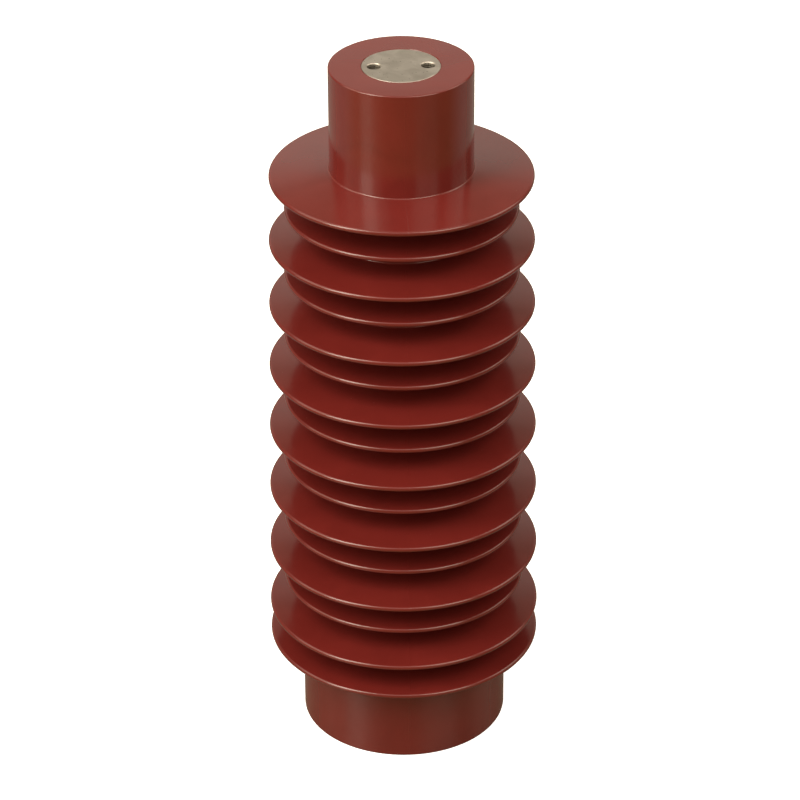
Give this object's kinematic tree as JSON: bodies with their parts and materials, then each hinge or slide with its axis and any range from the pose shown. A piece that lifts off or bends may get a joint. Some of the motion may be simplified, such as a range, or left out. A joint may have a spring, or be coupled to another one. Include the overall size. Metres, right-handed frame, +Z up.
{
  "type": "post insulator",
  "caption": "Cast-resin post insulator with alternating large and small rain sheds, a tapped metal insert flush in its neck and threaded bushes in its base.",
  "frame": {"origin": "centre of the base's underside, where the insulator stands", "axes": "+Z up the insulator's axis, from the base to the terminal insert; +X through the two tapped holes in the neck; +Y away from the front"},
  "size_m": [0.1592, 0.1592, 0.4215],
  "materials": {
    "red_brown_resin": "glossy cast epoxy resin, oxide red",
    "plated_brass": "satin nickel plate on brass"
  },
  "bodies": {
    "root": {"resin_casting": "red_brown_resin", "neck_insert": "plated_brass", "base_bush_1": "plated_brass", "base_bush_2": "plated_brass", "base_bush_3": "plated_brass", "base_bush_4": "plated_brass"}
  },
  "joints": []
}
